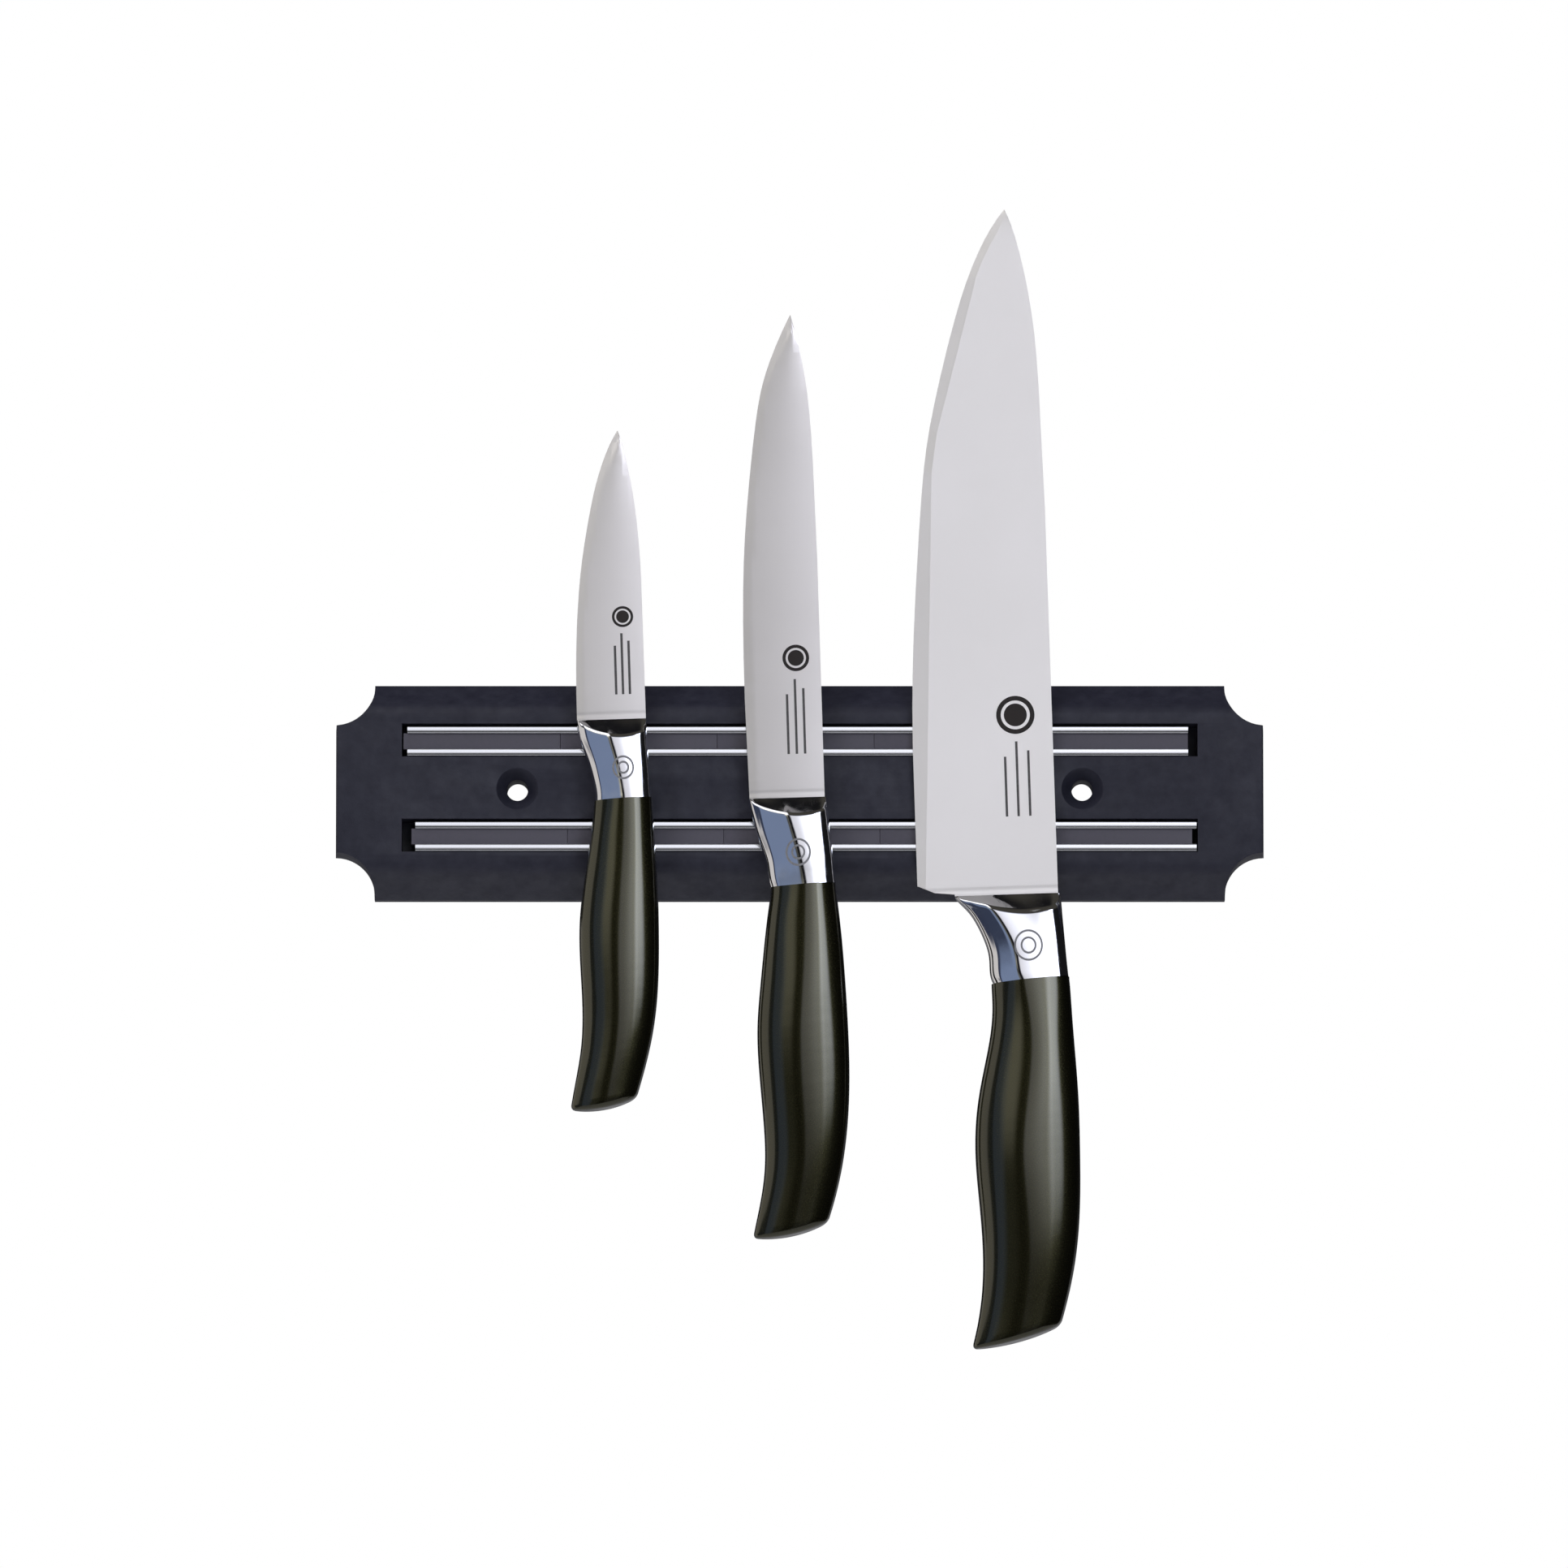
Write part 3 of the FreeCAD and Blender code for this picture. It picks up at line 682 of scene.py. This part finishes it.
def ground_blade(knife, hollow_cuts=13, level_cuts=24, upright_cuts=12):
    """A blade with fine bright edges and a shallow hollow above the bolster.

    The ground faces of the small knives also bulge a little between bevel and spine.
    """
    node = f"{knife}_blade"
    bevel_width, bulge, shoulder_angle = GRIND[knife]
    left, _, along, up = knife_axes(knife)
    stations, spans = blade_spans(*arrays(node), left, along, up)
    piece = softened(node, BLADE_EDGE)
    mesh = piece.data
    work = bmesh.new()
    work.from_mesh(mesh)

    def cut(place, normal):
        """Adds edges where a plane crosses the blade."""
        whole = work.verts[:] + work.edges[:] + work.faces[:]
        bmesh.ops.bisect_plane(
            work, geom=whole, dist=SKIN_WELD, plane_co=Vector(place), plane_no=Vector(normal)
        )

    for share in np.linspace(0.0, 1.0, hollow_cuts):
        cut(left + up * (HOLLOW_ABOVE + share * HOLLOW_WIDTH), up)
    if bulge:
        for high in np.linspace(BLADE_LOW, BLADE_HIGH, level_cuts) * stations[-1]:
            cut(left + up * high, up)
        for across in np.linspace(spans[:, 0].min(), spans[:, 1].max(), upright_cuts + 2)[1:-1]:
            cut(left + along * across, along)

    for vert in work.verts:
        offset = np.array(vert.co) - left
        high, across = offset @ up, offset @ along
        edge, spine, middle = (np.interp(high, stations, places) for places in spans.T)
        away = vert.co.y - middle
        share = (high - HOLLOW_ABOVE) / HOLLOW_WIDTH
        if 0 < share < 1:
            dip = HOLLOW_DEPTH * (1 - math.cos(2 * math.pi * share)) / 2
            vert.co.y -= math.copysign(min(dip, abs(away)), away)
        if bulge and high > TANG_TOP and spine - edge > NARROW * bevel_width:
            share = (across - edge - bevel_width) / (spine - edge - bevel_width)
            share = min(max(share, 0.0), 1.0)
            vert.co.y += math.copysign(bulge * 4 * share * (1 - share), away)
    work.to_mesh(mesh)
    work.free()
    mesh.shade_smooth()
    mesh.set_sharp_from_angle(angle=math.radians(shoulder_angle))
    return piece


# ---------------------------------------------------------------- pole strips
def crowned_strip(node, steps=19, columns=25):
    """A steel strip whose visible front is slightly crowned, with small bevelled edges."""
    low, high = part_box(node)
    centre, half = (low.z + high.z) / 2, (high.z - low.z) / 2
    shoulder = low.y + POLE_SAG + POLE_EDGE
    profile = [(high.y, -half), (shoulder, -half)]
    for share in np.linspace(-1.0, 1.0, steps):
        profile.append((low.y + POLE_SAG * share**2, share * (half - POLE_EDGE)))
    profile += [(shoulder, half), (high.y, half)]
    work = bmesh.new()
    rings = []
    for x in np.linspace(low.x, high.x, columns):
        rings.append([work.verts.new((x, y, centre + z)) for y, z in profile])
    bridge(work, rings)
    work.faces.new(rings[0])
    work.faces.new(rings[-1])
    name = f"{node}_crowned"
    return add_piece(name, finished(work, name), node, replace=True)


# ---------------------------------------------------------------- markings
def mark(knife, part, name, under, material, grids):
    """A thin closed marking let into the front of a knife's part, a hair proud of it.

    under: the piece it lies on. grids: each a list of rows of (across, up) places.
    """
    _, right, along, up = knife_axes(knife)
    points = [vert.co.copy() for vert in under.data.vertices]
    surface = BVHTree.FromPolygons(points, [list(face.vertices) for face in under.data.polygons])
    work = bmesh.new()

    def sunk(across, high):
        """A point just behind the front of the piece below, found by a ray from a metre ahead of it."""
        place = right + along * across + up * high
        hit = surface.ray_cast(Vector((place[0], -1.0, place[2])), Vector((0, 1, 0)))[0]
        return work.verts.new((place[0], hit.y + MARK_PROUD, place[2]))

    for grid in grids:
        bridge(work, [[sunk(*place) for place in row] for row in grid], closed=False)
    bmesh.ops.remove_doubles(work, verts=work.verts, dist=MARK_WELD)
    raised = bmesh.ops.extrude_face_region(work, geom=work.faces[:])["geom"]
    raised = [item for item in raised if isinstance(item, bmesh.types.BMVert)]
    bmesh.ops.translate(work, verts=raised, vec=(0, -2 * MARK_PROUD, 0))
    name = f"{knife}_{name}"
    paint(add_piece(name, finished(work, name), f"{knife}_{part}"), material)


def ring_grid(across, high, outer, inner, tall=1.0, steps=48, bands=3):
    """A flat ring as grid rows; inner 0 makes a disc."""
    rows = []
    for radius in np.linspace(inner, outer, bands + 1):
        angles = np.linspace(0.0, 2 * math.pi, steps + 1)
        rows.append([(across + radius * math.cos(a), high + tall * radius * math.sin(a)) for a in angles])
    return rows


def bar_grid(across, low, high, width, steps=60):
    """A thin upright bar as grid rows."""
    return [[(across + side * width / 2, z) for side in (-1, 1)] for z in np.linspace(low, high, steps)]


def add_marks(knife, blade_piece, bolster_piece):
    """A ringed disc over three thin bars on the blade, and two oval rings on the bolster."""
    across, high, radius = DISC[knife]
    disc = [
        ring_grid(across, high, radius, DISC_HOLE * radius),
        ring_grid(across, high, DISC_DOT * radius, 0.0),
    ]
    across, high, length, pitch = BARS[knife]
    bars = [
        bar_grid(across + k * pitch, high - length / 2, high + share * length / 2, BAR_WIDTH)
        for k, share in BAR_TOPS
    ]
    across, high, radius, tall = OVAL[knife]
    ovals = [
        ring_grid(across, high, share * radius, share * radius - RING_LINE, tall)
        for share in OVAL_SHARES
    ]
    mark(knife, "blade", "disc", blade_piece, MATERIALS["etched"], disc)
    mark(knife, "blade", "bars", blade_piece, MATERIALS["etched_pale"], bars)
    mark(knife, "bolster", "ovals", bolster_piece, MATERIALS["engraved"], ovals)


# ---------------------------------------------------------------- studio
FLOOR_HALF = 3.4
FLOOR_HEIGHT = -2.7

# Soft panels that the polished metal mirrors. Directions are degrees: azimuth from straight in front
# of the rack towards the right, and elevation. Each: azimuth range, elevation range, how softly each
# of these ends, colour.
PANELS = [
    ((-5, 26), (2.5, 24), (2.5, 6), (0.92, 0.92, 0.98)),
    ((-5, 26), (-60, -3), (3, 4), (0.08, 0.08, 0.08)),
    ((5, 36), (5, 30), (7, 6), (1.1, 1.15, 1.3)),
    ((20, 40.5), (5.5, 34), (4, 6), (3.3, 3.5, 4.2)),
    ((-32, -20), (7, 34), (4, 6), (0.95, 0.92, 0.75)),
    ((-32, -20), (-60, 1), (4, 5), (0.12, 0.12, 0.10)),
    ((-46, -31), (-60, 20), (3, 5), (0.20, 0.26, 0.40)),
    ((-62, -46), (-60, 20), (4, 5), (0.035, 0.047, 0.085)),
    ((-73, -62), (-60, -8), (3, 5), (0.03, 0.04, 0.075)),
    ((-125, -61), (-8, 40), (2.5, 5), (0.74, 0.71, 0.68)),
    ((-125, -73), (-60, -8), (3, 5), (0.74, 0.71, 0.68)),
    ((-181, -135), (-60, 0), (6, 6), (0.20, 0.20, 0.21)),
    ((128, 181), (-60, 0), (6, 6), (0.25, 0.25, 0.26)),
    ((-48, -10), (26, 60), (5, 5), (1.6, 1.6, 1.65)),
    ((-110, 110), (34, 80), (10, 7), (0.05, 0.046, 0.036)),
]
AMBIENT = (0.010, 0.010, 0.011)
DIFFUSE_LIGHT = (0.22, 0.22, 0.24)
BACKDROP = (1.0, 1.0, 1.0)
LIGHTS = [  # name, place, width, power, what it is aimed at
    ("left_box", (-1.3, -1.5, 0.9), 0.8, 15.0, (0, 0, 0)),
    ("right_box", (0.1, -1.6, -1.1), 0.8, 8.0, (0, 0, 0)),
    ("top_box", (-0.1, -0.8, 1.8), 0.8, 5.0, (0, 0, 0)),
    ("bottom_box", (-0.1, -0.3, -1.9), 0.8, 6.0, (0, 0, 0)),
    ("back_box", (0.9, 1.7, 1.0), 0.8, 30.0, (0, 0, 0)),
    ("floor_box", (0.0, 0.0, 2.2), 0.5, 16.0, (0, 0, FLOOR_HEIGHT)),
]


def add_floor():
    """A plain pale floor, far below the rack and the camera."""
    mesh = bpy.data.meshes.new("floor")
    around = ((-1, -1), (1, -1), (1, 1), (-1, 1))
    corners = [(x * FLOOR_HALF, y * FLOOR_HALF, FLOOR_HEIGHT) for x, y in around]
    mesh.from_pydata(corners, [], [(0, 1, 2, 3)])
    floor = bpy.data.objects.new("floor", mesh)
    bpy.context.scene.collection.objects.link(floor)
    paint(floor, floor_paint())


def add_world():
    """White to the camera, an even pale light to matt surfaces, and soft panels to polished ones."""
    world = bpy.data.worlds.new("studio")
    bpy.context.scene.world = world
    world.use_nodes = True
    world.node_tree.nodes.clear()
    tree = NodeTree(world.node_tree)

    def window(value, low, high, soft):
        """1 inside a range and 0 outside, with a smooth step from soft before to soft after each end."""
        start = tree.span(value, low - soft, low + soft, 0.0, 1.0)
        end = tree.span(value, high - soft, high + soft, 1.0, 0.0)
        return tree.math("MULTIPLY", start, end)

    def mixed(share, below, color, **settings):
        """A colour mixed by a share with what is below it: a colour or the output of another node."""
        node = tree.add("ShaderNodeMix", data_type="RGBA", **settings)
        node.inputs["B"].default_value = (*color, 1)
        tree.link(share, node.inputs["Factor"])
        if isinstance(below, tuple):
            node.inputs["A"].default_value = (*below, 1)
        else:
            tree.link(below, node.inputs["A"])
        return node.outputs["Result"]

    axes = tree.add("ShaderNodeSeparateXYZ")
    tree.link(tree.add("ShaderNodeTexCoord").outputs["Generated"], axes.inputs["Vector"])
    x, y, z = (axes.outputs[axis] for axis in "XYZ")
    forward = tree.math("MULTIPLY", y, -1.0)
    azimuth = tree.math("MULTIPLY", tree.math("ARCTAN2", x, forward), math.degrees(1))
    elevation = tree.math("MULTIPLY", tree.math("ARCSINE", z), math.degrees(1))
    total = AMBIENT
    for wide, tall, (wide_soft, tall_soft), color in PANELS:
        share = tree.math("MULTIPLY", window(azimuth, *wide, wide_soft), window(elevation, *tall, tall_soft))
        total = mixed(share, total, color, blend_type="ADD", clamp_result=False)
    ray = tree.add("ShaderNodeLightPath").outputs
    total = mixed(ray["Is Diffuse Ray"], total, DIFFUSE_LIGHT)
    total = mixed(ray["Is Camera Ray"], total, BACKDROP)
    background = tree.add("ShaderNodeBackground")
    tree.link(total, background.inputs["Color"])
    tree.link(background.outputs[0], tree.add("ShaderNodeOutputWorld").inputs["Surface"])


def add_light(name, location, width, power, target):
    """A square soft box, which lights the rack but doesn't show in its reflections."""
    data = bpy.data.lights.new(name, "AREA")
    data.size = width
    data.energy = power
    light = bpy.data.objects.new(name, data)
    aim(light, location, target)
    light.visible_glossy = False
    light.visible_camera = False
    bpy.context.scene.collection.objects.link(light)


# ---------------------------------------------------------------- making
add_camera()
paint_cad_nodes()
for knife in KNIVES:
    smooth_grip(knife)
    collar = smooth_bolster(knife)
    ground = ground_blade(knife)
    # painted shade: the small blades get a darker copy of the same blade steel
    if knife != "chef":  # the small blades are a little darker
        paint(ground, MATERIALS["shaded_blade_steel"])
    add_marks(knife, ground, collar)
softened("rack_body", BODY_EDGE)
for magnet in MAGNETS:
    softened(magnet, MAGNET_EDGE)
for pole in POLES:
    crowned_strip(pole)
add_floor()
add_world()
for light in LIGHTS:
    add_light(*light)
bpy.context.scene.view_settings.view_transform = "Standard"
